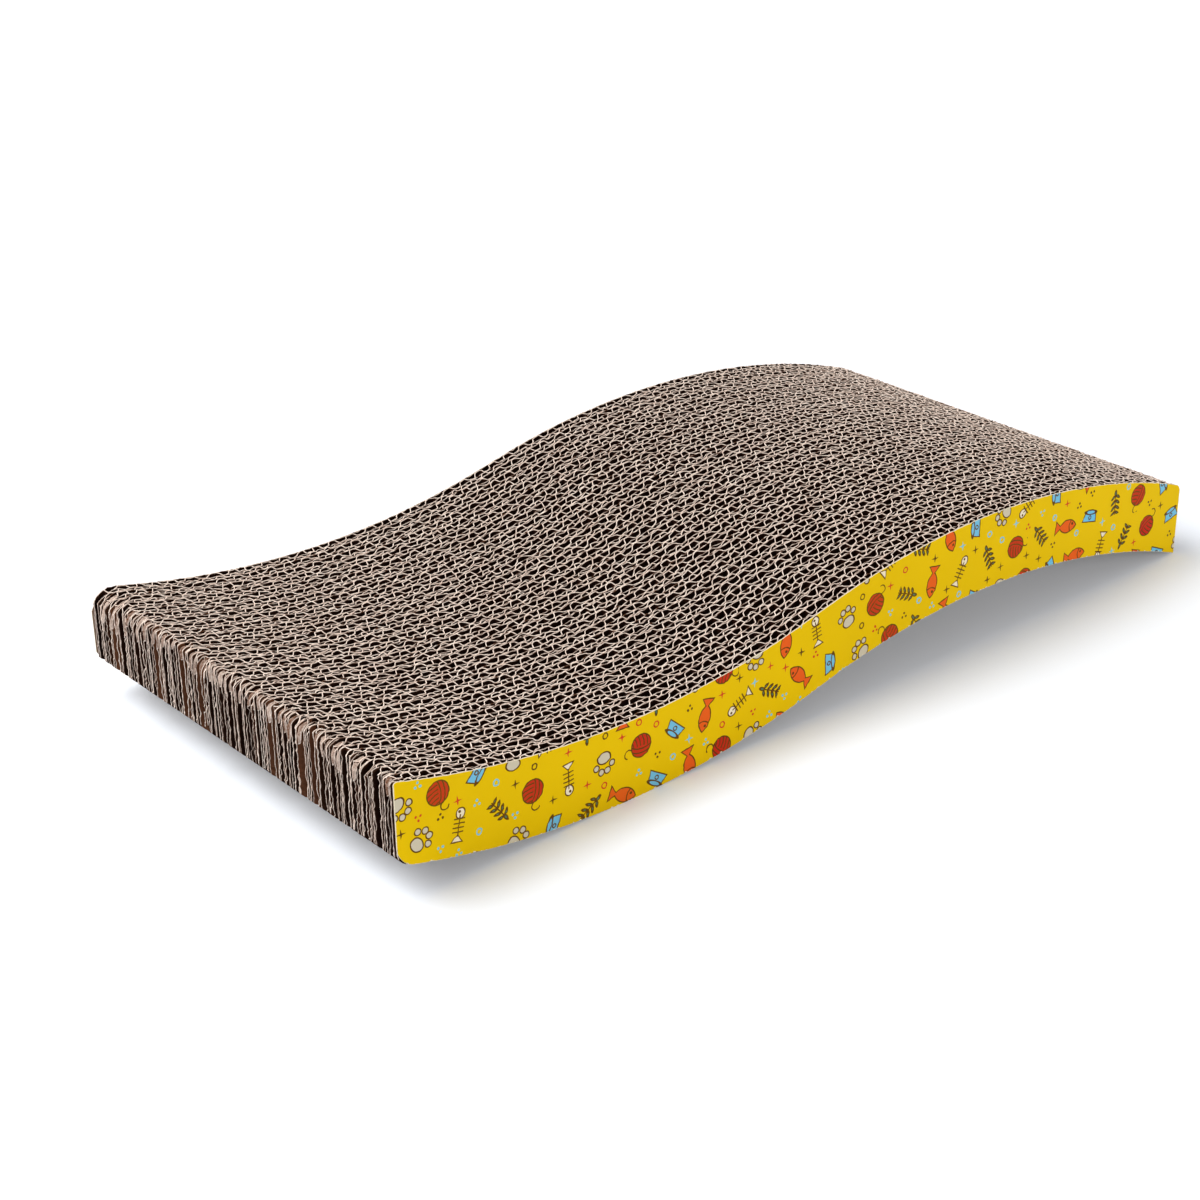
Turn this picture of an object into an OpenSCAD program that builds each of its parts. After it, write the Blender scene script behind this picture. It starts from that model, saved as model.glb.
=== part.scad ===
// Wavy cat scratching board: double-wall corrugated boards die-cut to one wave, glued face to
// face, with their flutes standing upright, between two printed paper side covers.
// The length runs along X, the glued stack along Y, and the flutes along Z. The origin lies on
// the floor, below the middle of the length and of the stack.

/* [Wave] */
// Length from end to end
length = 430; // [340:1:520]
// Thickness of the panel, measured straight up, alike all along the wave
panel_thickness = 33; // [22:1:60]
// How far the crest of the hump stands above the bottom of the dip
wave_rise = 24; // [10:1:40]
// Distance from the left end to the bottom of the dip
dip_from_left = 107; // [80:1:130]
// Radius of a board's upper corner at the left end
left_corner_radius = 5; // [2:0.5:12]
// Radius of the same corner at the far side, where it is worn rounder
worn_corner_radius = 12; // [2:0.5:14]
// Number of boards over which that corner gets rounder
worn_boards = 6; // [1:1:12]
// Radius of a board's upper corner at the right end
right_corner_radius = 4; // [2:0.5:12]

/* [Stack] */
// Width over both printed covers
width = 205; // [190:1:240]
// Number of corrugated boards that share the width between the covers
board_count = 31; // [28:1:33]
// Thickness of the printed paper on each side, glue included
cover_thickness = 0.51; // [0.3:0.01:1.2]
// Radius of the printed covers' upper corners, apart from the worn one
cover_corner_radius = 2.5; // [1:0.5:8]

/* [Corrugation] */
// Length of one open flute wave along the board
flute_pitch = 8.6; // [6:0.1:12]
// Clear height of the open flute row between its liners
flute_height = 3.8; // [2.5:0.1:4.2]
// How far the crests of the open flutes lean along the board, as the rollers left them
flute_lean = 1.2; // [0:0.1:2]
// Thickness of the liner paper
liner_thickness = 0.3; // [0.2:0.05:0.6]
// Thickness of the fluted paper
medium_thickness = 0.4; // [0.25:0.05:0.6]

/* [Hidden] */

// Steps of a whole circle
$fn = 360;

// Cutting tools run this far past what they cut
overrun = 5;

// Straight steps of a rounded corner
corner_steps = 4;

// The waste of a rounded corner reaches this many radii out from its centre
waste_reach_share = 3;

// The lower edge falls from the hump to the same floor at the right end, which sets the half wave
wave_span = length - dip_from_left;
half_wave = 2 * wave_span - sqrt(2 * pow(wave_span, 2) - pow(wave_rise, 2));
wave_radius = (pow(half_wave, 2) + pow(wave_rise, 2)) / (4 * wave_rise);
left_x = -length / 2;
right_x = length / 2;
dip_x = left_x + dip_from_left;
hump_x = dip_x + half_wave;
turn_x = dip_x + half_wave / 2;
full_height = wave_rise + panel_thickness;

boards_width = width - 2 * cover_thickness;
board_thickness = boards_width / board_count;

// How many steps into the worn boards board i lies, and the radius of its left corner
function worn_steps(i) = max(0, i - board_count + worn_boards);
function left_round(i) = left_corner_radius
  + (worn_corner_radius - left_corner_radius) * worn_steps(i) / worn_boards;

// Each board starts its flutes at another place, stepped by the golden ratio
phase_step_share = 0.618;

// Flute waves that are drawn past each end of a board, before its ends are cut
spare_waves = 1;

function board_name(i) = str("board_", i < 10 ? "0" : "", i);

// The dip's arc and the hump's arc would touch at the turning point. A short straight stretch
// runs through it instead, this far to either side.
turn_reach = 12;
turn_chord_z = wave_radius - sqrt(pow(wave_radius, 2) - pow(turn_x - turn_reach - dip_x, 2));
turn_slope = (wave_rise / 2 - turn_chord_z) / turn_reach;

// Height of the straight stretch's line at x
function turn_line(x) = wave_rise / 2 + turn_slope * (x - turn_x);

// How deep and how high the blocks reach that the wave is cut from
block_depth = full_height + overrun;
block_height = length;

// A plain block between two places along the length
module block(from_x, to_x) {
  translate([from_x, -block_depth]) square([to_x - from_x, block_depth + block_height]);
}

// Everything under the lower edge: under the dip's arc, under the straight line at the turning
// point, and from there on under the hump's arc too
module under_wave() {
  start_x = turn_x - 2 * turn_reach;
  end_x = right_x + overrun;
  difference() {
    union() {
      difference() {
        translate([left_x - overrun, -block_depth])
          square([turn_x - turn_reach / 2 - left_x + overrun, block_depth + wave_radius / 2]);
        translate([dip_x, wave_radius]) circle(r = wave_radius);
      }
      polygon([[start_x, -block_depth], [end_x, -block_depth], [end_x, turn_line(end_x)],
        [start_x, turn_line(start_x)]]);
    }
    difference() {
      block(turn_x + turn_reach / 2, end_x + overrun);
      translate([hump_x, wave_rise - wave_radius]) circle(r = wave_radius);
    }
  }
}

// What a rounded upper corner about c loses, between two angles. It lies to the left of c for a
// side of -1, and to its right for 1. The first and the last step of its round are drawn on past
// their ends, so that they run out of the board.
module corner_waste(c, r, from, to, side) {
  function on_round(step) =
    let (a = from + (to - from) * step / corner_steps) c + r * [cos(a), sin(a)];
  first_out = 2 * on_round(0) - on_round(1);
  last_out = 2 * on_round(corner_steps) - on_round(corner_steps - 1);
  inner = [for (step = [1 : corner_steps - 1]) on_round(step)];
  outer = c + waste_reach_share * r * [side, 1];
  polygon(concat([first_out], inner, [last_out, outer]));
}

// The left corner's disc touches the end and the upper edge, which hollows out over the dip
module left_corner_waste(r) {
  hollow = [dip_x, panel_thickness + wave_radius];
  c_x = left_x + r;
  c = [c_x, hollow.y - sqrt(pow(wave_radius + r, 2) - pow(c_x - dip_x, 2))];
  from = atan2(hollow.y - c.y, hollow.x - c.x);
  corner_waste(c, r, from, 180, -1);
}

// The right corner's disc touches the end and the upper edge, which falls away from the hump
module right_corner_waste(r) {
  full = [hump_x, full_height - wave_radius];
  c_x = right_x - r;
  c = [c_x, full.y + sqrt(pow(wave_radius - r, 2) - pow(c_x - hump_x, 2))];
  from = atan2(c.y - full.y, c.x - full.x);
  corner_waste(c, r, from, 0, 1);
}

// Side outline of every piece
module wave_outline(left_r, right_r) {
  difference() {
    intersection() {
      translate([0, panel_thickness]) under_wave();
      translate([left_x, -overrun]) square([length, full_height + 2 * overrun]);
    }
    under_wave();
    left_corner_waste(left_r);
    right_corner_waste(right_r);
  }
}

// The outline as a slice of the panel, from y upwards
module wave_slice(y, thickness, left_r, right_r) {
  translate([0, y + thickness, 0]) rotate([90, 0, 0]) linear_extrude(thickness)
    wave_outline(left_r, right_r);
}

// Section of a board, seen from above and wider than the board, with its coarse flutes open.
// The flutes start at a share of their pitch, and the board's near face lies at y = 0. Their
// crests, towards the far face, are pushed along the board and their valleys back by as much. The
// fine flutes of the other row, towards the near face, are closed here.
module board_section(phase_share) {
  steepness = atan(2 * flute_height / flute_pitch);
  wall = medium_thickness / sin(steepness);
  tip = flute_height * (1 - wall / flute_pitch);
  half_base = (flute_pitch - wall) / 2;
  push = flute_lean / 2;
  tip_push = flute_lean * tip / flute_height - push;
  waves = ceil(length / flute_pitch) + spare_waves;
  start_x = left_x - flute_pitch * (spare_waves + phase_share);
  section_length = (waves + 2 * spare_waves) * flute_pitch;
  far_y = board_thickness - liner_thickness;
  near_y = far_y - flute_height;
  difference() {
    translate([start_x, -overrun]) square([section_length, board_thickness + 2 * overrun]);
    for (i = [0 : waves]) {
      crest_x = start_x + flute_pitch * (i + 0.75);
      valley_x = crest_x + flute_pitch / 2;
      polygon([[crest_x - half_base - push, near_y], [crest_x + half_base - push, near_y],
        [crest_x + tip_push, near_y + tip]]);
      polygon([[valley_x - half_base + push, far_y], [valley_x - tip_push, far_y - tip],
        [valley_x + half_base + push, far_y]]);
    }
  }
}

module board(i) {
  y = (i - 1) * board_thickness - boards_width / 2;
  steps = i * phase_step_share;
  color([0.74, 0.62, 0.5])
    intersection() {
      wave_slice(y, board_thickness, left_round(i), right_corner_radius);
      translate([0, y, -overrun]) linear_extrude(full_height + 2 * overrun)
        board_section(steps - floor(steps));
    }
}

module near_cover() {
  color([0.93, 0.76, 0.05])
    wave_slice(-width / 2, cover_thickness, cover_corner_radius, cover_corner_radius);
}

module far_cover() {
  color([0.93, 0.76, 0.05])
    wave_slice(boards_width / 2, cover_thickness, worn_corner_radius, cover_corner_radius);
}

near_cover();
far_cover();
for (i = [1 : board_count])
  board(i);
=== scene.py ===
"""Dresses a wavy cat scratching board: glued corrugated strips between two printed paper covers.

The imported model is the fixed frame. Every strip is rebuilt from its papers, three flat liners and
two fluted papers that stand upright, and both covers are rebuilt as thin printed sheets. All
lengths are in metres, +X runs along the board, +Y across the strips and +Z up.
"""

from __future__ import annotations

import logging
import math
from collections.abc import Callable, Sequence
from dataclasses import dataclass, field
from enum import Enum

import bpy
import numpy as np
from mathutils import Matrix, Vector


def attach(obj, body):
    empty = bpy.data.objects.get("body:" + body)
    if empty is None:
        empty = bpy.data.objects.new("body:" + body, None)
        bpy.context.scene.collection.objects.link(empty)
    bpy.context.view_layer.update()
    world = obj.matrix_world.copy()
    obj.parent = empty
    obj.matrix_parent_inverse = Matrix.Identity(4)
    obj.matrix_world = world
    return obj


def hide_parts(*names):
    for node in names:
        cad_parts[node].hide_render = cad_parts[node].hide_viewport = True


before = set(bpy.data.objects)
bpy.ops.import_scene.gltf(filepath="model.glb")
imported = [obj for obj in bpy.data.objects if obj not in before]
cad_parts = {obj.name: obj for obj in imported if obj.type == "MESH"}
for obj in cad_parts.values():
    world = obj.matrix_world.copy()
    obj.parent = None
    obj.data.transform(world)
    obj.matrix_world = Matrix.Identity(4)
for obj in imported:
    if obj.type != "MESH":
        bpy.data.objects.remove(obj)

LOG = logging.getLogger("scratching_board")
MM = 0.001
Grid = np.ndarray
Pair = tuple[float, float]
Triple = tuple[float, float, float]
Colour = tuple[float, float, float, float]
WHITE: Colour = (1.0, 1.0, 1.0, 1.0)


# Shapes that the pieces share


@dataclass(frozen=True)
class Wave:
    """The side outline: a dip and a hump of the same radius, joined by a short straight stretch.

    The hump's place and the radius let the right end come down to the floor again.
    """

    left: float = -215.0 * MM
    right: float = 215.0 * MM
    dip_x: float = -108.0 * MM
    hump_x: float = 81.840 * MM
    radius: float = 381.413 * MM
    rise: float = 24.0 * MM
    thickness: float = 33.0 * MM
    turn_reach: float = 12.0 * MM

    def lower(self, x: Grid) -> Grid:
        """Height of the lower edge.

        The dip is radius - sqrt(radius^2 - (x - dip_x)^2), the hump is its mirror image about the
        turning point, and between them runs the chord through the turning point.

        Args:
            x: Places along the board.

        Returns:
            Heights above the floor at these places.
        """
        turn_x = (self.dip_x + self.hump_x) / 2
        dip = self.radius - np.sqrt(np.maximum(self.radius**2 - (x - self.dip_x) ** 2, 0.0))
        hump = self.rise - self.radius + np.sqrt(
            np.maximum(self.radius**2 - (x - self.hump_x) ** 2, 0.0)
        )
        start = self.radius - math.sqrt(
            self.radius**2 - (turn_x - self.turn_reach - self.dip_x) ** 2
        )
        slope = (self.rise / 2 - start) / self.turn_reach
        chord = self.rise / 2 + slope * (x - turn_x)
        height = np.where(x < turn_x, np.maximum(dip, chord), np.minimum(hump, chord))
        return np.maximum(height, 0.0)

    def foot(self, x: Grid, reach: float) -> Grid:
        """How much the rounded lower left corner takes off.

        It is reach - sqrt(reach^2 - (centre_x - x)^2) up to the centre, and nothing after it.

        Args:
            x: Places along the board.
            reach: Radius of the corner.

        Returns:
            Heights above the lower edge at these places.
        """
        before = np.clip(self.left + reach - x, 0.0, reach)
        return reach - np.sqrt(reach**2 - before**2)

    def upper(self, x: Grid, left_round: float, right_round: float) -> Grid:
        """Height of the upper edge, with its two ends rounded.

        It lies one thickness above the lower edge. Near an end it follows a circle that touches
        both the end and the wave: centre height + sqrt(round^2 - (x - centre_x)^2).

        Args:
            x: Places along the board.
            left_round: Radius of the rounded left end.
            right_round: Radius of the rounded right end.

        Returns:
            Heights above the floor at these places.
        """
        wave = self.lower(x) + self.thickness
        left_c = self.left + left_round
        left_z = (
            self.thickness
            + self.radius
            - math.sqrt((self.radius + left_round) ** 2 - (left_c - self.dip_x) ** 2)
        )
        left_t = left_c + (self.dip_x - left_c) * left_round / (self.radius + left_round)
        left_arc = left_z + np.sqrt(np.maximum(left_round**2 - (x - left_c) ** 2, 0.0))
        right_c = self.right - right_round
        right_z = (
            self.rise
            + self.thickness
            - self.radius
            + math.sqrt((self.radius - right_round) ** 2 - (right_c - self.hump_x) ** 2)
        )
        right_t = right_c + (right_c - self.hump_x) * right_round / (self.radius - right_round)
        right_arc = right_z + np.sqrt(np.maximum(right_round**2 - (x - right_c) ** 2, 0.0))
        return np.where(x < left_t, left_arc, np.where(x > right_t, right_arc, wave))


WAVE = Wave()


@dataclass(frozen=True)
class Ripple:
    """A smooth random unevenness, always the same for the same seed."""

    seed: int
    scale: float
    waves: int = 6

    def __call__(self, x: Grid) -> Grid:
        """Sum of sines with random lengths about the scale and random starts, within about 1.

        Args:
            x: Places at which it is wanted.

        Returns:
            The unevenness there, most of it between -1 and 1.
        """
        rng = np.random.default_rng(self.seed)
        turns = 2 * math.pi / self.scale * rng.uniform(0.45, 1.6, self.waves)
        starts = rng.uniform(0, 2 * math.pi, self.waves)
        return np.sin(np.asarray(x)[..., None] * turns + starts).sum(-1) / math.sqrt(self.waves)


@dataclass
class Shell:
    """A closed thin sheet: its points and four-sided faces, and two marks of each point.

    The mark cut says how freshly cut the paper is, the mark deep how far inside the board it lies,
    where the kraft gets painted shade.
    """

    points: Grid
    faces: Grid
    cut: Grid
    deep: Grid

    @staticmethod
    def from_levels(
        path_x: Grid, path_y: Grid, z: Grid, half: Grid, cut: Grid, deep: Grid
    ) -> Shell:
        """Closes a sheet that stands on a path in plan.

        The sheet has stations along the path and levels up its height. Its two sides lie half a
        thickness to the left and the right of the path: path +- half * normal, where the normal
        is the path's direction turned by a right angle. The rings of points are joined by
        four-sided faces, and both end stations are closed.

        Args:
            path_x: Middle of the sheet along X, stations by levels.
            path_y: Middle of the sheet along Y, stations by levels.
            z: Height, stations by levels.
            half: Half the thickness, stations by levels.
            cut: Share of cut edge from 0 to 1, stations by levels.
            deep: Share of the way inside from 0 to 1, stations by levels.

        Returns:
            The closed sheet.
        """
        along_x, along_y = np.gradient(path_x, axis=0), np.gradient(path_y, axis=0)
        length = np.maximum(np.hypot(along_x, along_y), 1e-9)
        normal_x, normal_y = -along_y / length, along_x / length
        left = np.stack([path_x + normal_x * half, path_y + normal_y * half, z], -1)
        right = np.stack([path_x - normal_x * half, path_y - normal_y * half, z], -1)
        return Shell.from_sides(left, right, cut, deep)

    @staticmethod
    def from_sides(left: Grid, right: Grid, cut: Grid, deep: Grid) -> Shell:
        """Closes a sheet that is given by its two sides.

        The sides are joined along their first and last levels and stations. The left side faces
        along (next level - level) x (next station - station).

        Args:
            left: Points of one side, stations by levels by 3.
            right: Points of the other side, in the same order.
            cut: Share of cut edge from 0 to 1, stations by levels.
            deep: Share of the way inside from 0 to 1, stations by levels.

        Returns:
            The closed sheet.
        """
        ring = np.concatenate([left, right[:, ::-1]], axis=1)
        ring_cut = np.concatenate([cut, cut[:, ::-1]], axis=1)
        ring_deep = np.concatenate([deep, deep[:, ::-1]], axis=1)
        stations, around = ring.shape[:2]
        index = np.arange(stations * around).reshape(stations, around)
        here, there = index[:-1], index[1:]
        sides = np.stack(
            [here, np.roll(here, -1, 1), np.roll(there, -1, 1), there], -1
        ).reshape(-1, 4)
        levels = np.arange(left.shape[1] - 1)
        start = np.stack(
            [levels, around - 1 - levels, around - 2 - levels, levels + 1], -1
        )
        end = start[:, ::-1] + (stations - 1) * around
        faces = np.concatenate([sides, start, end])
        return Shell(ring.reshape(-1, 3), faces, ring_cut.ravel(), ring_deep.ravel())


def joined(shells: Sequence[Shell]) -> Shell:
    """Puts closed sheets into one set of points and faces.

    Args:
        shells: The sheets.

    Returns:
        All of them as one.
    """
    starts = np.cumsum([0] + [len(s.points) for s in shells[:-1]])
    return Shell(
        np.concatenate([s.points for s in shells]),
        np.concatenate([s.faces + n for s, n in zip(shells, starts)]),
        np.concatenate([s.cut for s in shells]),
        np.concatenate([s.deep for s in shells]),
    )


def mesh_piece(
    name: str, shell: Shell, marks: dict[str, Grid], finish: bpy.types.Material
) -> bpy.types.Object:
    """Makes a Blender object of points and flat faces, with its place in its mesh.

    Args:
        name: Name of the piece.
        shell: Its points and faces.
        marks: Values at the points, by attribute name.
        finish: Its material.

    Returns:
        The new object, at the origin, unturned and unscaled.
    """
    mesh = bpy.data.meshes.new(name)
    count = len(shell.faces)
    mesh.vertices.add(len(shell.points))
    mesh.vertices.foreach_set("co", shell.points.astype(np.float32).ravel())
    mesh.loops.add(count * 4)
    mesh.loops.foreach_set("vertex_index", shell.faces.astype(np.int32).ravel())
    mesh.polygons.add(count)
    mesh.polygons.foreach_set("loop_start", np.arange(0, count * 4, 4, dtype=np.int32))
    mesh.polygons.foreach_set("use_smooth", np.zeros(count, dtype=bool))
    for mark, values in marks.items():
        attribute = mesh.attributes.new(mark, "FLOAT", "POINT")
        attribute.data.foreach_set("value", values.astype(np.float32))
    mesh.update(calc_edges=True)
    mesh.validate()
    mesh.materials.append(finish)
    piece = bpy.data.objects.new(name, mesh)
    bpy.context.scene.collection.objects.link(piece)
    return piece


# Shader nodes


@dataclass(frozen=True)
class Signal:
    """One value in a node tree, on which sums are written as formulas."""

    tree: Tree
    socket: bpy.types.NodeSocket

    def __add__(self, other: Signal | float) -> Signal:
        """The sum of two values."""
        return self.tree.math("ADD", self, other)

    def __sub__(self, other: Signal | float) -> Signal:
        """The difference of two values."""
        return self.tree.math("SUBTRACT", self, other)

    def __mul__(self, other: Signal | float) -> Signal:
        """The product of two values."""
        return self.tree.math("MULTIPLY", self, other)

    def __truediv__(self, other: Signal | float) -> Signal:
        """The quotient of two values."""
        return self.tree.math("DIVIDE", self, other)

    def __abs__(self) -> Signal:
        """The size of a value, without its sign."""
        return self.tree.math("ABSOLUTE", self)

    def least(self, other: Signal | float) -> Signal:
        """The smaller of two values: two shapes together."""
        return self.tree.math("MINIMUM", self, other)

    def most(self, other: Signal | float) -> Signal:
        """The larger of two values: what two shapes share."""
        return self.tree.math("MAXIMUM", self, other)

    def floor(self) -> Signal:
        """The whole number below a value."""
        return self.tree.math("FLOOR", self)

    def modulo(self, step: float) -> Signal:
        """What is left of a value above the last whole step, never negative."""
        return self.tree.math("FLOORED_MODULO", self, step)


Feed = Signal | float | tuple


class Tree:
    """A node tree with short calls that place nodes and join them."""

    def __init__(self, tree: bpy.types.NodeTree) -> None:
        """Takes over a node tree.

        Args:
            tree: A material's or a group's tree.
        """
        self.tree = tree

    def feed(self, socket: bpy.types.NodeSocket, value: Feed) -> None:
        """Joins a value to a socket, or sets a constant on it.

        Args:
            socket: The input.
            value: A value of this tree, or a constant.
        """
        if isinstance(value, Signal):
            self.tree.links.new(value.socket, socket)
        else:
            socket.default_value = value

    def node(
        self, kind: str, inputs: dict[str | int, Feed] | None = None, **settings: object
    ) -> bpy.types.Node:
        """Places a node.

        Args:
            kind: Its type name, without the word ShaderNode.
            inputs: What its inputs get, by name or number.
            **settings: Its properties.

        Returns:
            The node.
        """
        placed = self.tree.nodes.new("ShaderNode" + kind)
        for key, value in settings.items():
            setattr(placed, key, value)
        for key, value in (inputs or {}).items():
            self.feed(placed.inputs[key], value)
        return placed

    def out(self, node: bpy.types.Node, name: str | int = 0) -> Signal:
        """An output of a node as a value."""
        return Signal(self, node.outputs[name])

    def math(self, operation: str, a: Feed, b: Feed = 0.0, c: Feed = 0.0) -> Signal:
        """A sum of up to three values, by the name of Blender's operation."""
        return self.out(self.node("Math", {0: a, 1: b, 2: c}, operation=operation))

    def vector(self, operation: str, a: Feed, b: Feed = (0.0, 0.0, 0.0)) -> Signal:
        """A sum of two vectors, whose outcome is a vector."""
        node = self.node("VectorMath", {0: a, 1: b}, operation=operation)
        return self.out(node, "Vector")

    def length(self, operation: str, a: Feed, b: Feed = (0.0, 0.0, 0.0)) -> Signal:
        """A sum of two vectors, whose outcome is a number."""
        node = self.node("VectorMath", {0: a, 1: b}, operation=operation)
        return self.out(node, "Value")

    def parts(self, vector: Signal) -> tuple[Signal, Signal, Signal]:
        """The three components of a vector."""
        split = self.node("SeparateXYZ", {0: vector})
        return self.out(split, 0), self.out(split, 1), self.out(split, 2)

    def combined(self, x: Feed, y: Feed, z: Feed = 0.0) -> Signal:
        """A vector of three components."""
        return self.out(self.node("CombineXYZ", {0: x, 1: y, 2: z}))

    def mixed(self, share: Feed, a: Feed, b: Feed) -> Signal:
        """A blend of two numbers, b where the share is 1."""
        return self.out(self.node("Mix", {0: share, 2: a, 3: b}, data_type="FLOAT"))

    def tinted(self, share: Feed, a: Feed, b: Feed) -> Signal:
        """A blend of two colours, b where the share is 1."""
        return self.out(self.node("Mix", {0: share, 6: a, 7: b}, data_type="RGBA"), 2)

    def mapped(self, value: Signal, low: float, high: float, to: Pair = (0.0, 1.0)) -> Signal:
        """A value stretched from a range to another one, held at its ends."""
        inputs = {0: value, 1: low, 2: high, 3: to[0], 4: to[1]}
        return self.out(self.node("MapRange", inputs, clamp=True))

    def noise(self, place: Feed, scale: float, detail: float = 3.0, rough: float = 0.55) -> Signal:
        """Cloudy noise between 0 and 1."""
        inputs = {"Vector": place, "Scale": scale, "Detail": detail, "Roughness": rough}
        return self.out(self.node("TexNoise", inputs))

    def turned(self, place: Signal, angle: Feed, centre: Triple = (0.0, 0.0, 0.0)) -> Signal:
        """A place turned in plan about a centre."""
        inputs = {"Vector": place, "Center": centre, "Angle": angle}
        return self.out(self.node("VectorRotate", inputs, rotation_type="Z_AXIS"))

    def above(self, value: Signal, limit: float) -> Signal:
        """1 where a value lies above a limit, and elsewhere 0."""
        return self.math("GREATER_THAN", value, limit)

    def equal(self, value: Signal, number: float) -> Signal:
        """1 where a whole value is this number, and elsewhere 0."""
        return self.math("COMPARE", value, number, 0.5)

    def seen(self) -> Signal:
        """Tells what is looked at, straight, in a gloss or through glass, from what only lights.

        Returns:
            1 for rays that are seen, and 0 for others.
        """
        rays = self.node("LightPath")
        seen = self.out(rays, "Is Camera Ray").most(self.out(rays, "Is Glossy Ray"))
        return seen.most(self.out(rays, "Is Transmission Ray"))


def linear(red: int, green: int, blue: int) -> Colour:
    """A colour as it is seen on a screen, for a shader socket.

    Args:
        red: Red from 0 to 255.
        green: Green from 0 to 255.
        blue: Blue from 0 to 255.

    Returns:
        The linear colour with full alpha.
    """
    seen = np.array([red, green, blue]) / 255
    made = np.where(seen <= 0.04045, seen / 12.92, ((seen + 0.055) / 1.055) ** 2.4)
    return (*(float(v) for v in made), 1.0)


@dataclass(frozen=True)
class GroupDoor:
    """One input or output of a node group."""

    name: str
    kind: str
    value: float | tuple | None = None


def node_group(
    name: str,
    inputs: Sequence[GroupDoor],
    outputs: Sequence[GroupDoor],
    build: Callable[[Tree, dict[str, Signal]], dict[str, Signal]],
) -> bpy.types.NodeTree:
    """Makes a shader node group with named inputs and outputs.

    Args:
        name: Name of the group.
        inputs: Its inputs, with their defaults.
        outputs: Its outputs.
        build: Fills the group and returns what its outputs get.

    Returns:
        The group.
    """
    group = bpy.data.node_groups.new(name, "ShaderNodeTree")
    for door in inputs:
        socket = group.interface.new_socket(door.name, in_out="INPUT", socket_type=door.kind)
        if door.value is not None:
            socket.default_value = door.value
    for door in outputs:
        group.interface.new_socket(door.name, in_out="OUTPUT", socket_type=door.kind)
    tree = Tree(group)
    entry = group.nodes.new("NodeGroupInput")
    leave = group.nodes.new("NodeGroupOutput")
    given = {door.name: Signal(tree, entry.outputs[door.name]) for door in inputs}
    for key, value in build(tree, given).items():
        tree.feed(leave.inputs[key], value)
    return group


def placed_group(tree: Tree, group: bpy.types.NodeTree, inputs: dict[str, Feed]) -> bpy.types.Node:
    """Places a node group in a material.

    Args:
        tree: The material's tree.
        group: The group.
        inputs: What its inputs get.

    Returns:
        The placed group node.
    """
    node = tree.tree.nodes.new("ShaderNodeGroup")
    node.node_tree = group
    for key, value in inputs.items():
        tree.feed(node.inputs[key], value)
    return node


def paper_fibres() -> bpy.types.NodeTree:
    """The fibres of paper: a fine uneven shade and a fine relief, stretched along the board.

    Returns:
        The group, with Shade from 0 to 1 and Relief from 0 to 1.
    """

    def build(tree: Tree, given: dict[str, Signal]) -> dict[str, Signal]:
        """Adds up noises of three sizes.

        Args:
            tree: The group's tree.
            given: Its inputs: the Place in metres.

        Returns:
            What its outputs get.
        """
        along = tree.vector("MULTIPLY", given["Place"], (0.35, 1.0, 1.0))
        fine = tree.noise(along, 2600.0, 2.0, 0.6)
        cloud = tree.noise(given["Place"], 160.0, 3.0, 0.6)
        speck = tree.noise(given["Place"], 900.0, 2.0, 0.7)
        shade = fine * 0.4 + cloud * 0.35 + speck * 0.25
        return {"Shade": shade, "Relief": fine * 0.6 + speck * 0.4}

    return node_group(
        "paper_fibres",
        [GroupDoor("Place", "NodeSocketVector")],
        [GroupDoor("Shade", "NodeSocketFloat"), GroupDoor("Relief", "NodeSocketFloat")],
        build,
    )


def frayed_edge() -> bpy.types.NodeTree:
    """Where paper is freshly cut: the cut mark of the mesh, broken up by torn fibres.

    Returns:
        The group, with Mask from 0, plain paper, to 1, cut fibres.
    """

    def build(tree: Tree, given: dict[str, Signal]) -> dict[str, Signal]:
        """Adds noise to the cut mark and sharpens it.

        Args:
            tree: The group's tree.
            given: Its inputs: the Place in metres, the Cut mark and the Raggedness of the fibres.

        Returns:
            What its output gets.
        """
        torn = tree.noise(given["Place"], 1300.0, 3.0, 0.65)
        ragged = given["Cut"] + (torn - 0.5) * given["Raggedness"]
        return {"Mask": tree.mapped(ragged, 0.25, 0.7)}

    return node_group(
        "frayed_edge",
        [
            GroupDoor("Place", "NodeSocketVector"),
            GroupDoor("Cut", "NodeSocketFloat", 0.0),
            GroupDoor("Raggedness", "NodeSocketFloat", 0.6),
        ],
        [GroupDoor("Mask", "NodeSocketFloat")],
        build,
    )


class Motif(Enum):
    """The small drawings of the print, in the order in which they are dealt out."""

    PAW = 0
    FISH = 1
    YARN = 2
    BONE = 3
    BOWL = 4
    LEAF = 5


@dataclass(frozen=True)
class Drawing:
    """A drawing in millimetres: distances to its filled shape and to its lines, and its colour."""

    fill: Signal
    lines: Signal
    colour: Colour


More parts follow.
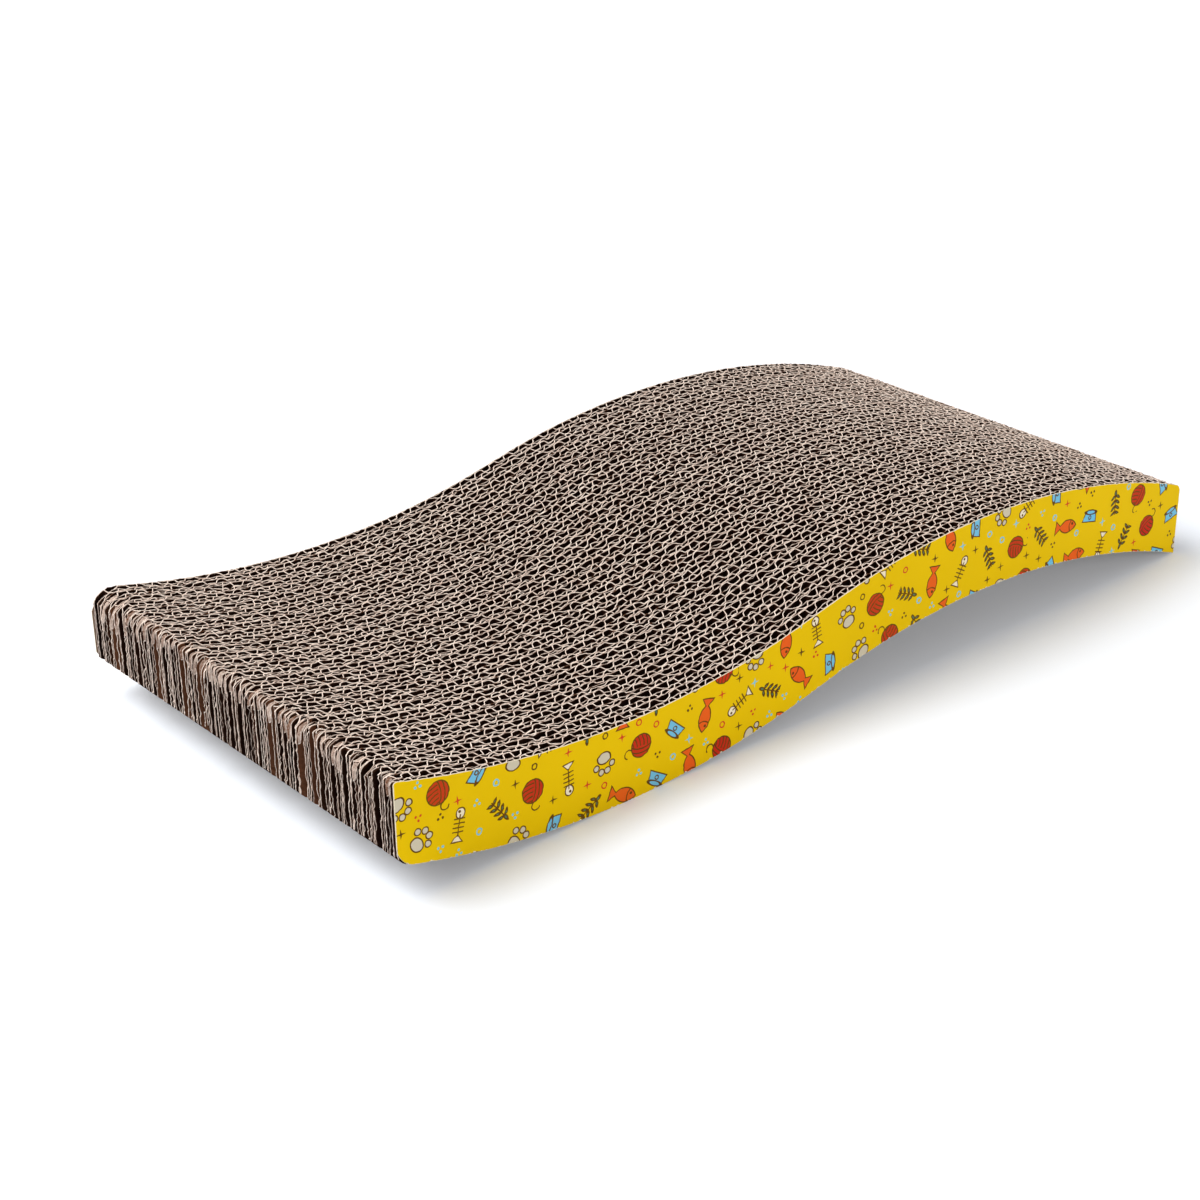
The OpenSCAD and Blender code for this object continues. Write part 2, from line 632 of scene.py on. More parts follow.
class Sketcher:
    """Draws the motifs as signed distances, negative inside, about the origin."""

    def __init__(self, tree: Tree, place: Signal) -> None:
        """Takes the place to draw at.

        Args:
            tree: The group's tree.
            place: The place in the drawing, in millimetres.
        """
        self.tree = tree
        self.place = place
        self.x, self.y, _ = tree.parts(place)
        self.side = abs(self.x)
        self.folded = tree.combined(self.side, self.y)
        self.across = abs(self.y)

    def disc(self, at: Pair, radius: float, place: Signal | None = None) -> Signal:
        """Distance to a disc: distance to its centre, less its radius."""
        return self.tree.length("DISTANCE", place or self.place, (*at, 0.0)) - radius

    def oval(self, at: Pair, half: Pair, place: Signal | None = None) -> Signal:
        """Distance to an oval: the disc of a stretched place, scaled back by its short half.

        Args:
            at: Its centre.
            half: Half its width and half its height.
            place: The place to measure at, if it isn't the drawing's own.

        Returns:
            The distance, negative inside.
        """
        moved = self.tree.vector("SUBTRACT", place or self.place, (*at, 0.0))
        stretched = self.tree.vector("MULTIPLY", moved, (1 / half[0], 1 / half[1], 0.0))
        return (self.tree.length("LENGTH", stretched) - 1.0) * min(half)

    def paw(self) -> Drawing:
        """A paw print: one wide pad and four toes, alike on both sides.

        Returns:
            The drawing.
        """
        pad = self.oval((0.0, -1.9), (3.1, 2.4))
        outer = self.disc((3.7, 1.3), 1.3, self.folded)
        inner = self.disc((1.45, 3.6), 1.35, self.folded)
        shape = pad.least(outer.least(inner))
        return Drawing(shape, abs(shape), linear(206, 196, 172))

    def fish(self) -> Drawing:
        """A fish: two arcs for its body, a wedge for its tail, with a gill and an eye.

        Returns:
            The drawing.
        """
        body = self.disc((1.0, -3.9), 6.8, self.tree.combined(self.x, self.across))
        reach = (self.x + 3.2) * -0.8
        tail = (self.across - reach).most((self.x + 7.0) * -1.0).most(self.x + 3.2)
        shape = body.least(tail)
        gill = abs(self.disc((6.6, 0.0), 4.4)).most(body + 0.4)
        eye = self.disc((4.0, 0.8), 0.35)
        return Drawing(shape, abs(shape).least(gill).least(eye), linear(232, 92, 28))

    def yarn(self) -> Drawing:
        """A ball of yarn: a disc with two sets of arcs wound round it and a loose end.

        Returns:
            The drawing.
        """
        ball = self.disc((0.0, 0.0), 4.7)
        turned = self.x + self.y * 0.6
        first = abs(self.tree.length("DISTANCE", self.place, (-7.0, -4.0, 0.0)).modulo(1.7) - 0.85)
        second = abs(self.tree.length("DISTANCE", self.place, (6.0, -7.5, 0.0)).modulo(1.7) - 0.85)
        wound = first.most(turned * -1.0).least(second.most(turned)).most(ball + 0.2)
        loose = abs(self.disc((5.0, -4.0), 1.8)).most(self.y + 3.6)
        return Drawing(ball, abs(ball).least(wound).least(loose), linear(196, 42, 24))

    def bone(self) -> Drawing:
        """A fish bone: a round head, a wedge of a tail, and ribs on a spine.

        Returns:
            The drawing.
        """
        head = self.oval((4.7, 0.0), (2.1, 1.9))
        wedge = self.across - (self.x + 3.6) * -0.9
        tail = wedge.most((self.x + 6.4) * -1.0).most(self.x + 3.6)
        shape = head.least(tail)
        spine = self.across.most(self.side - 4.0)
        ribs = abs(self.x.modulo(1.7) - 0.85).most(self.across - 2.2).most(abs(self.x + 0.2) - 2.9)
        eye = self.disc((5.3, 0.5), 0.3)
        lines = abs(shape).least(spine).least(ribs).least(eye)
        return Drawing(shape, lines, linear(240, 226, 196))

    def bowl(self) -> Drawing:
        """A feeding bowl: a tapering box under a flat oval rim, with a dot on its front.

        Returns:
            The drawing.
        """
        body = (self.side - self.y * -0.3 - 3.9).most(abs(self.y + 0.4) - 2.1)
        rim = self.oval((0.0, 1.8), (3.6, 1.0))
        shape = body.least(rim)
        dot = abs(self.disc((0.0, -0.6), 0.8))
        return Drawing(shape, abs(shape).least(abs(rim)).least(dot), linear(112, 190, 222))

    def leaf(self) -> Drawing:
        """A leafy sprig: a stem with pairs of small leaves and one leaf at its tip.

        Returns:
            The drawing.
        """
        inside = self.across - 4.4
        repeated = self.tree.combined(self.side, self.y.modulo(2.6) - 0.9)
        turned = self.tree.turned(repeated, 0.65, (1.4, 0.3, 0.0))
        pairs = self.oval((1.4, 0.3), (1.25, 0.5), turned).most(inside)
        shape = pairs.least(self.oval((0.0, 5.3), (0.6, 1.3)))
        stem = self.side.most(inside)
        return Drawing(shape, abs(shape).least(stem), linear(60, 118, 96))

    def every(self) -> dict[Motif, Drawing]:
        """All drawings, by motif."""
        drawn = (self.paw(), self.fish(), self.yarn(), self.bone(), self.bowl(), self.leaf())
        return dict(zip(Motif, drawn))


@dataclass(frozen=True)
class PlayPrint:
    """A scattered print of toys and treats: one drawing in each cell of a staggered grid.

    All lengths are in millimetres, but the row of the small marks is a share of the cell. The
    distance nowhere is one at which nothing is drawn.
    """

    cell: float = 16.6
    slack: float = 0.8
    mark_slack: float = 0.6
    mark_row: float = 0.375
    line: float = 0.21
    soft: float = 0.10
    wobble: float = 0.7
    nowhere: float = 9.0
    ink: Colour = linear(92, 58, 16)
    red: Colour = linear(206, 60, 30)
    blue: Colour = linear(120, 196, 214)

    def cells(self, tree: Tree, place: Signal, shift: float) -> tuple[Signal, Signal, Signal]:
        """Splits the sheet into cells, every second row moved by half a cell.

        Args:
            tree: The group's tree.
            place: Place on the sheet in millimetres.
            shift: How far the grid is moved along its rows, in cells.

        Returns:
            Place in the cell along and across its row, from -0.5 to 0.5 of a cell, and the
            cell's own number as a vector.
        """
        u, v, w = tree.parts(tree.vector("MULTIPLY", place, (1 / self.cell, 1 / self.cell, 1.0)))
        row = v.floor()
        moved = u + row.modulo(2.0) * 0.5 + shift
        column = moved.floor()
        return moved - column - 0.5, v - row - 0.5, tree.combined(column, row, w)

    def chance(self, tree: Tree, number: Signal, salt: float) -> tuple[Signal, Signal, Signal]:
        """Throws dice for a cell.

        Args:
            tree: The group's tree.
            number: The cell's own number.
            salt: Tells throws for the same cell apart.

        Returns:
            Three random numbers from 0 to 1 that belong to the cell.
        """
        salted = tree.vector("ADD", number, (0.5, 0.5, salt))
        dice = tree.node("TexWhiteNoise", {"Vector": salted}, noise_dimensions="3D")
        return tree.parts(tree.out(dice, "Color"))

    def large(self, tree: Tree, place: Signal) -> tuple[Signal, Signal, Signal]:
        """Draws the large drawings, turned at random.

        Args:
            tree: The group's tree.
            place: Place on the sheet.

        Returns:
            Their fill, their lines and their colour.
        """
        along, across, number = self.cells(tree, place, 0.0)
        one, two, three = self.chance(tree, number, 0.3)
        pick, _, _ = self.chance(tree, number, 7.7)
        local = tree.combined(
            along * self.cell + (one - 0.5) * (2 * self.slack),
            across * self.cell + (two - 0.5) * (2 * self.slack),
        )
        drawings = Sketcher(tree, tree.turned(local, three * (2 * math.pi))).every()
        dealt = self.dealt(tree, number, pick)
        fill: Feed = self.nowhere
        lines: Feed = self.nowhere
        colour: Feed = self.ink
        for motif, drawing in drawings.items():
            chosen = tree.equal(dealt, float(motif.value))
            fill = tree.mixed(chosen, fill, drawing.fill)
            lines = tree.mixed(chosen, lines, drawing.lines)
            colour = tree.tinted(chosen, colour, drawing.colour)
        return fill, lines, colour

    def dealt(self, tree: Tree, number: Signal, pick: Signal) -> Signal:
        """Deals motifs out so that neighbours differ: 2 a column, 3 a row, and at times 1 more.

        Args:
            tree: The group's tree.
            number: The cell's own number.
            pick: The cell's random number, which says whether it gets 1 more.

        Returns:
            The value of the cell's motif.
        """
        column, row, _ = tree.parts(number)
        order = column * 2.0 + row * 3.0 + row.modulo(2.0) + tree.above(pick, 0.7)
        return (order + (column / 3.0).floor()).modulo(float(len(Motif)))

    def small(self, tree: Tree, place: Signal) -> tuple[Signal, Signal]:
        """Draws the small marks in the gaps, two a cell: stars, rings and groups of dots.

        Args:
            tree: The group's tree.
            place: Place on the sheet.

        Returns:
            Their shape and their colour.
        """
        along, across, number = self.cells(tree, place, 0.5)
        upper = tree.combined(0.0, 0.0, tree.above(across, 0.0) * 3.1 + 11.0)
        one, two, three = self.chance(tree, tree.vector("ADD", number, upper), 0.9)
        spot = tree.combined(
            along * self.cell + (one - 0.5) * (2 * self.mark_slack),
            (abs(across) - self.mark_row) * self.cell + (two - 0.5) * (2 * self.mark_slack),
        )
        x, y, _ = tree.parts(spot)
        star = abs(x).least(abs(y)) + tree.length("LENGTH", spot) * 0.22 - 0.42
        ring = abs(tree.length("LENGTH", spot) - 1.15) - 0.24
        folded = tree.combined(abs(x), y)
        low = tree.length("DISTANCE", folded, (1.0, -0.6, 0.0))
        high = tree.length("DISTANCE", folded, (0.0, 1.1, 0.0))
        dots = low.least(high) - 0.5
        kind = (three * 4.0).floor()
        shape: Feed = self.nowhere
        for value, mark in enumerate((star, ring, dots)):
            shape = tree.mixed(tree.equal(kind, float(value)), shape, mark)
        warm = tree.tinted(tree.above(one, 0.5), self.ink, self.red)
        return shape, tree.tinted(tree.above(two, 0.6), warm, self.blue)

    def group(self) -> bpy.types.NodeTree:
        """Makes the print as a node group.

        Returns:
            The group, with Colour and the Ink mask of what is printed on the plain ground.
        """

        def build(tree: Tree, given: dict[str, Signal]) -> dict[str, Signal]:
            """Prints drawings, their ink lines and the small marks, one over the other.

            Args:
                tree: The group's tree.
                given: Its inputs: the Place in millimetres and the colour of the Ground.

            Returns:
                What its outputs get.
            """
            by = (tree.noise(given["Place"], 0.5, 1.0) - 0.5) * self.wobble
            place = tree.vector("ADD", given["Place"], tree.combined(by, by * -0.8))
            fill, lines, colour = self.large(tree, place)
            marks, mark_colour = self.small(tree, place)
            filled = tree.mapped(fill, 0.0, self.soft, (1.0, 0.0))
            drawn = tree.mapped(lines, self.line, self.line + self.soft, (1.0, 0.0))
            marked = tree.mapped(marks, 0.0, self.soft, (1.0, 0.0))
            sheet = given["Ground"]
            for mask, tint in ((filled, colour), (drawn, self.ink), (marked, mark_colour)):
                sheet = tree.tinted(mask, sheet, tint)
            return {"Colour": sheet, "Ink": filled.most(drawn).most(marked)}

        return node_group(
            "play_print",
            [
                GroupDoor("Place", "NodeSocketVector"),
                GroupDoor("Ground", "NodeSocketColor", linear(232, 191, 0)),
            ],
            [GroupDoor("Colour", "NodeSocketColor"), GroupDoor("Ink", "NodeSocketFloat")],
            build,
        )


# Finishes


class Draft:
    """A new material with its tree, its shader and the place on the piece."""

    def __init__(self, name: str) -> None:
        """Makes the material.

        Args:
            name: Its name.
        """
        self.made = bpy.data.materials.new(name)
        self.made.use_nodes = True
        self.tree = Tree(self.made.node_tree)
        self.place = self.tree.out(self.tree.node("TexCoord"), "Object")

    def mark(self, name: str) -> Signal:
        """A mark of the mesh."""
        return self.tree.out(self.tree.node("Attribute", attribute_name=name), "Fac")

    def frayed(self, edge: bpy.types.NodeTree) -> Signal:
        """Where the paper is cut, by the group of the frayed edge and the mark cut."""
        inputs = {"Place": self.place, "Cut": self.mark("cut"), "Raggedness": 0.55}
        return self.tree.out(placed_group(self.tree, edge, inputs), "Mask")

    def relief(self, height: Signal, strength: float, distance: float) -> Signal:
        """The normal of a relief of this height."""
        inputs = {"Strength": strength, "Distance": distance, "Height": height}
        return self.tree.out(self.tree.node("Bump", inputs))

    def shaded(self, inputs: dict[str, Feed]) -> bpy.types.Material:
        """Sets up the shader.

        Args:
            inputs: What its inputs get.

        Returns:
            The finished material.
        """
        shader = self.made.node_tree.nodes["Principled BSDF"]
        for key, value in inputs.items():
            self.tree.feed(shader.inputs[key], value)
        return self.made


@dataclass(frozen=True)
class KraftBoard:
    """Raw kraft paper: brown faces and pale cut edges, with near-black painted shade on the faces
    deep inside the board.
    """

    fibres: bpy.types.NodeTree
    edge: bpy.types.NodeTree
    face: Colour = linear(123, 81, 55)
    face_dark: Colour = linear(72, 42, 26)
    # Painted shade: the near-black colour of the faces deep inside the board.
    painted_deep_shade: Colour = linear(37, 17, 10)
    face_brown: Colour = linear(110, 72, 51)
    cut: Colour = linear(255, 239, 225)
    cut_dark: Colour = linear(199, 168, 150)

    def material(self) -> bpy.types.Material:
        """Makes the finish.

        Returns:
            The material. It reads the marks cut, deep and tone of the mesh; deep paints shade into
            the faces, and tone lifts that painted shade towards brown.
        """
        draft = Draft("raw_kraft_board")
        tree = draft.tree
        fibres = placed_group(tree, self.fibres, {"Place": draft.place})
        shade = tree.out(fibres, "Shade")
        flat = tree.tinted(tree.mapped(shade, 0.35, 0.65), self.face_dark, self.face)
        fresh = tree.tinted(tree.mapped(shade, 0.32, 0.6), self.cut_dark, self.cut)
        # Painted shade: where the mark deep is high the faces darken to near black, and the mark
        # tone lifts them back towards the walls' brown.
        brown = tree.mapped(draft.mark("tone"), 0.6, 1.0)
        inside = tree.tinted(brown, self.painted_deep_shade, self.face_brown)
        plain = tree.tinted(draft.mark("deep"), flat, inside)
        return draft.shaded({
            "Base Color": tree.tinted(draft.frayed(self.edge), plain, fresh),
            "Roughness": 0.95,
            "Specular IOR Level": 0.06,
            "Normal": draft.relief(tree.out(fibres, "Relief"), 0.5, 0.00015),
        })


@dataclass(frozen=True)
class PrintedPaper:
    """Yellow paper with a scattered print, slightly glossy, pale where it is cut."""

    fibres: bpy.types.NodeTree
    edge: bpy.types.NodeTree
    print_group: bpy.types.NodeTree
    name: str
    shift: Triple
    mirrored: bool
    faded: Colour = linear(190, 150, 10)
    paper: Colour = linear(238, 228, 200)
    inner: Colour = linear(150, 126, 108)

    def material(self) -> bpy.types.Material:
        """Makes the finish.

        Returns:
            The material. It reads the marks cut and bare of the mesh.
        """
        draft = Draft(self.name)
        tree = draft.tree
        x, _, z = tree.parts(draft.place)
        turn = -1000.0 if self.mirrored else 1000.0
        moved = tree.vector("ADD", tree.combined(x * turn, z * 1000.0), self.shift)
        sheet = placed_group(tree, self.print_group, {"Place": moved})
        fibres = placed_group(tree, self.fibres, {"Place": draft.place})
        cloud = tree.mapped(tree.noise(draft.place, 22.0, 2.0), 0.35, 0.7, (0.0, 0.12))
        worn = tree.tinted(cloud, tree.out(sheet, "Colour"), self.faded)
        colour = tree.tinted(draft.frayed(self.edge), worn, self.paper)
        height = tree.noise(draft.place, 60.0, 2.0) * 0.8 + tree.out(fibres, "Relief") * 0.2
        return draft.shaded({
            "Base Color": tree.tinted(draft.mark("bare"), colour, self.inner),
            "Roughness": tree.mapped(tree.out(sheet, "Ink"), 0.0, 1.0, (0.46, 0.40)),
            "Specular IOR Level": 0.03,
            "Normal": draft.relief(height, 0.35, 0.0004),
        })


# The strips


@dataclass(frozen=True)
class Flute:
    """One row of flutes: wave length, push, curl and rounding of its crests.

    The marks are the places of its stations on the first half of each wave, in waves. The second
    half has them too, half a wave on.
    """

    pitch: float
    lean: float
    curl: float
    rounding: float
    marks: tuple[float, ...]
    blunt: float = 0.96

    def swing(self, turns: Grid) -> Grid:
        """Height of the wave between -1, a valley, and 1, a crest: straight walls, flat crests.

        With s = rounding asin(blunt sin(2 pi turns)) / asin(blunt), a blunted zigzag, it is
        s / (1 + s^4)^(1/4), scaled so that its crests reach 1.

        Args:
            turns: Place along the board in waves.

        Returns:
            The height there.
        """
        sine = self.blunt * np.sin(2 * math.pi * turns)
        zigzag = np.arcsin(sine) / math.asin(self.blunt) * self.rounding
        return zigzag / (1 + zigzag**4) ** 0.25 * (1 + self.rounding**4) ** 0.25 / self.rounding


Line = Callable[[Grid], Grid]


@dataclass(frozen=True)
class GlueLine:
    """Where two strips are glued together: a line in plan, wavy where the papers are crushed."""

    y: float
    seed: int
    sway: float

    def __call__(self, x: Grid) -> Grid:
        """The line's own y plus its sway times a slow and a quick ripple of x."""
        slow, quick = Ripple(self.seed, 24 * MM), Ripple(self.seed + 1, 7.5 * MM)
        return self.y + self.sway * (0.5 * slow(x) + 0.5 * quick(x))


@dataclass(frozen=True)
class Cutting:
    """How the saw leaves one kind of paper, with lengths in millimetres.

    The top edge is sunk and rough, bent sideways by bend, thickened by flare and perhaps broken.
    The ends are thickened by end_flare, cut afresh by a share, and stay behind the board's end.
    """

    rough: float
    bend: float
    flare: float
    broken: bool
    end_flare: tuple[float, ...]
    fresh: Pair
    behind: Pair
    sunk: float = 0.2


LINER_CUTTING = Cutting(
    rough=0.32,
    bend=0.2,
    flare=1.2,
    broken=True,
    end_flare=(1.0, 1.35, 1.1, 1.0),
    fresh=(0.48, 1.0),
    behind=(0.0, 0.5),
)
FLUTED_CUTTING = Cutting(
    rough=0.26,
    bend=0.26,
    flare=1.4,
    broken=False,
    end_flare=(0.8, 1.1, 1.0, 1.0),
    fresh=(0.42, 0.82),
    behind=(0.1, 1.1),
)


@dataclass(frozen=True)
class Paper:
    """One paper of a strip: its thickness, its stations, how it runs in plan and how it is cut."""

    thickness: float
    stations: Callable[[float, float], Grid]
    run: Callable[[Grid], tuple[Grid, Grid]]
    cutting: Cutting


@dataclass
class Strip:
    """One strip of double-wall corrugated board, its flutes upright, between two glue lines."""

    number: int
    near: GlueLine
    far: GlueLine
    node: str
    left_round: float
    setback: float
    liner: float = 0.22 * MM
    medium: float = 0.25 * MM
    liner_step: float = 1.9 * MM
    middle_share: float = 0.40
    play: float = 0.01 * MM
    foot_round: float = 5.0 * MM
    other_round: float = 4.0 * MM
    end_reach: float = 3.4 * MM
    first_seed: int = 4100
    fine: Flute = Flute(6.3 * MM, 0.3 * MM, -0.3 * MM, 1.5, (0.0, 0.1, 0.18, 0.32, 0.4))
    coarse: Flute = Flute(
        8.6 * MM, 0.38 * MM, -0.38 * MM, 1.7, (0.0, 0.08, 0.145, 0.25, 0.355, 0.42)
    )
    rng: np.random.Generator = field(init=False)

    def __post_init__(self) -> None:
        """Gives the strip its own fixed random numbers."""
        self.rng = np.random.default_rng(self.first_seed + self.number)

    def seed(self) -> int:
        """A new fixed seed for one unevenness."""
        return int(self.rng.integers(1 << 30))

    def middle_line(self) -> Line:
        """The middle liner's line: a share of the way across, plus its own sway.

        Returns:
            The line.
        """
        slow, quick = Ripple(self.seed(), 19 * MM), Ripple(self.seed(), 6.5 * MM)

        def line(x: Grid) -> Grid:
            """The line's y: near + (far - near) share + two ripples.

            Args:
                x: Places along the board.

            Returns:
                Its y there.
            """
            near, far = self.near(x), self.far(x)
            sway = 0.14 * MM * slow(x) + 0.2 * MM * quick(x)
            return near + (far - near) * self.middle_share + sway

        return line

    def liner_paper(self, line: Line, aside: float) -> Paper:
        """A flat liner that follows a line.

        Args:
            line: The line.
            aside: How far to the far side of it the liner's middle lies.

        Returns:
            The paper.
        """

        def stations(first: float, last: float) -> Grid:
            """Even places from first to last."""
            return np.linspace(first, last, round((last - first) / self.liner_step))

        def run(along: Grid) -> tuple[Grid, Grid]:
            """The middle of the paper in plan, x and y, at these stations."""
            return along, line(along) + aside

        return Paper(self.liner, stations, run, LINER_CUTTING)

    def fluted_paper(self, bottom: Line, top: Line, flute: Flute) -> Paper:
        """A fluted paper: a wave that leans along the strip and curls at its crests.

        y swings between bottom and top as the flute's wave. x = along + lean swing + curl
        sin(4 pi turns), which leans the walls and makes them steep. Slow and quick ripples shift
        the waves along, and others squash, push and curl single waves. The stations lie at the
        same places on every wave.

        Args:
            bottom: Least y of the paper's middle, along the strip.
            top: Most y of the paper's middle, along the strip.
            flute: The row's wave.

        Returns:
            The paper.
        """
        start = self.rng.uniform()
        drift, jitter = Ripple(self.seed(), 60 * MM), Ripple(self.seed(), 12 * MM)
        squash, push = Ripple(self.seed(), 14 * MM), Ripple(self.seed(), 10 * MM)
        curling = Ripple(self.seed(), 16 * MM)
        marks = np.concatenate([flute.marks, np.add(flute.marks, 0.5)])

        def turns(along: Grid) -> Grid:
            """Place along the strip, in waves."""
            return along / flute.pitch + start + 0.16 * drift(along) + 0.018 * jitter(along)

        def stations(first: float, last: float) -> Grid:
            """Finds the same places on every wave, by looking back from waves to places.

            Args:
                first: Where the stations start.
                last: Where they stop.

            Returns:
                The stations, with the first and the last place among them.
            """
            dense = np.linspace(first, last, 5000)
            reached = np.maximum.accumulate(turns(dense))
            whole = np.arange(math.floor(reached[0]), math.ceil(reached[-1]))
            wanted = (whole[:, None] + marks).ravel()
            wanted = wanted[(wanted > reached[0] + 0.03) & (wanted < reached[-1] - 0.03)]
            return np.concatenate([[first], np.interp(wanted, reached, dense), [last]])

        def run(along: Grid) -> tuple[Grid, Grid]:
            """Runs the wave by the formulas above.

            Args:
                along: The stations.

            Returns:
                The middle of the paper in plan, x and y.
            """
            turned = turns(along)
            swing = flute.swing(turned)
            lean = flute.lean * (1 + 0.2 * push(along))
            curl = flute.curl * (1 + 0.3 * curling(along))
            x = along + lean * swing + curl * np.sin(4 * math.pi * turned)
            low, high = bottom(x), top(x)
            height = (high - low) / 2 * (1.0 - 0.06 * (1 + squash(along)).clip(0))
            return x, (low + high) / 2 + height * swing

        return Paper(self.medium, stations, run, FLUTED_CUTTING)

    def papers(self) -> list[Paper]:
        """The five papers, held apart by their thickness and a little play.

        Returns:
            The papers from the near glue line to the far one.
        """
        edge = self.play + self.liner / 2
        inner = self.medium / 2 + self.play
        middle = self.middle_line()
        return [
            self.liner_paper(self.near, edge),
            self.fluted_paper(
                lambda x: self.near(x) + self.liner + inner,
                lambda x: middle(x) - self.liner / 2 - inner,
                self.fine,
            ),
            self.liner_paper(middle, 0.0),
            self.fluted_paper(
                lambda x: middle(x) + self.liner / 2 + inner,
                lambda x: self.far(x) - self.liner - inner,
                self.coarse,
            ),
            self.liner_paper(self.far, -edge),
        ]

    def kept(self, x: Grid, y: Grid, half: Grid) -> Grid:
        """Keeps a paper's middle so far inside the strip that its sides stay in it too."""
        near, far = self.near(x) + self.play, self.far(x) - self.play
        return np.clip(y, near + half, far - half)

    def body(self, paper: Paper, rounds: Pair, ends: Pair) -> Shell:
        """The long middle of a paper, between its two frayed ends.

        Its levels are the bottom edge, a step above it, and four steps up to the top edge, where
        the cut has flared the paper: half thickness = half * flare(level), and the upper levels
        are bent sideways by a ripple. The liners' top edge is a little rougher than the flutes',
        and some of it is broken off.

        Args:
            paper: The paper.
            rounds: Radii of the rounded left and right end.
            ends: Where the middle starts and stops.

        Returns:
            The closed sheet.
        """
        cutting = paper.cutting
        along = paper.stations(*ends)
        x, y = paper.run(along)
        low = WAVE.lower(x) + WAVE.foot(x, self.foot_round)
        low = low + 0.10 * MM * (1 + Ripple(self.seed(), 4 * MM)(along)).clip(0)
        uneven = (cutting.sunk + cutting.rough * Ripple(self.seed(), 5 * MM)(along)) * MM
        top = WAVE.upper(x, *rounds) - self.rng.uniform(0, 0.2) * MM
        high = top - np.maximum(uneven, 0.02 * MM)
        rise = np.array([0.0, 0.4, -1.3, -0.34, -0.1, 0.0]) * MM
        z = np.where(np.arange(len(rise)) < 2, low[:, None] + rise, high[:, None] + rise)
        flare = np.array([0.8, 1.1, 1.0, 1.05, cutting.flare, 1.0])
        crushed = 1 + 0.2 * Ripple(self.seed(), 3 * MM)(along)[:, None] * (flare > 1.1)
        half = paper.thickness / 2 * flare * crushed
        bent = np.array([0.0, 0.0, 0.0, 0.4, 0.9, 1.0]) * cutting.bend * MM
        side = Ripple(self.seed(), 3.8 * MM)(along)[:, None] * bent
        cut = np.tile([1.0, 0.1, 0.0, 0.0, 0.95, 1.0], (len(along), 1))
        # The mark deep paints shade on the faces below the top edge, most of it down in the
        # channels.
        deep = np.tile([0.4, 1.0, 1.0, 0.92, 0.3, 0.0], (len(along), 1))
        if cutting.broken:
            broken = (0.62 + 0.4 * Ripple(self.seed(), 4.5 * MM)(along)).clip(0.15, 1)
            cut[:, 4:] *= broken[:, None]
        path_x = np.tile(x[:, None], (1, len(rise)))
        path_y = self.kept(path_x, y[:, None] + side, half)
        return Shell.from_levels(path_x, path_y, z, half, cut, deep)

    def end(
        self, paper: Paper, rounds: Pair, end_x: float, inward: float, inset: float
    ) -> Shell:
        """The last few millimetres of a paper, whose cut edge is ragged all the way up.

        Stations lie at distances d from the end. Levels lie at even shares of the height up to
        1.4 mm below the top edge, and then close together. The edge wanders: x = end + inward
        (d + inset + raggedness(z)), and y sways by a ripple of z. Both fade with d, and the last
        station is buried in the paper's middle. The liners' edges are flared most.

        Args:
            paper: The paper.
            rounds: Radii of the rounded left and right end.
            end_x: Where the board ends.
            inward: 1 at the left end and -1 at the right end.
            inset: How far the paper stays behind the end.

        Returns:
            The closed sheet.
        """
        even, drop = np.linspace(0, 1, 26), np.array([0.26, 0.08, 0.0]) * MM
        levels = len(even) + len(drop)
        up = np.concatenate([even * WAVE.thickness, WAVE.thickness - drop])
        away = np.array([0.0, 0.1, 0.34, 0.8, 1.8, 3.4, 4.2]) * MM
        fade = np.clip(1 - away / self.end_reach, 0, 1)
        thick = np.array([*paper.cutting.end_flare, 1.0, 1.0, 0.4])
        fresh = self.rng.uniform(*paper.cutting.fresh)
        marks = np.array([fresh, fresh, 0.0, 0.0, 0.0, 0.0, 0.0])
        # inside is the mark deep along the end: no painted shade at the cut end, full painted shade
        # a few millimetres in.
        inside = np.array([0.0, 0.22, 0.8, 1.0, 1.0, 1.0, 1.0])
        if inward < 0:
            away, fade, thick = away[::-1], fade[::-1], thick[::-1]
            marks, inside = marks[::-1], inside[::-1]
        ragged = np.abs(Ripple(self.seed(), 3.2 * MM)(up)) * 0.4 * MM
        along = end_x + inward * (away[:, None] + inset + ragged * fade[:, None])
        x, y = paper.run(along)
        sway = Ripple(self.seed(), 18 * MM)(up) * 0.20 + Ripple(self.seed(), 4 * MM)(up) * 0.05
        y = y + sway * MM * fade[:, None]
        low = WAVE.lower(x) + WAVE.foot(x, self.foot_round) + 0.1 * MM
        high = WAVE.upper(x, *rounds) - 0.25 * MM
        rising = low[:, : len(even)] + (high - 1.4 * MM - low)[:, : len(even)] * even
        z = np.concatenate([rising, high[:, : len(drop)] - drop], axis=1)
        half = paper.thickness / 2 * thick[:, None] * np.ones(levels)
        half = half * (1 + 0.3 * Ripple(self.seed(), 2.6 * MM)(up)).clip(0.5, 1.8)
        half[:, [0, -1]] *= 0.8
        half[:, -2] *= 1.3
        top_cut = np.zeros(levels)
        top_cut[-2:] = 1.0
        # Near the top edge the painted shade fades out.
        top_inside = np.ones(levels)
        top_inside[-3:] = [0.35, 0.0, 0.0]
        cut = np.maximum(marks[:, None], top_cut)
        deep = np.minimum(inside[:, None], top_inside)
        return Shell.from_levels(x, self.kept(x, y, half), z, half, cut, deep)

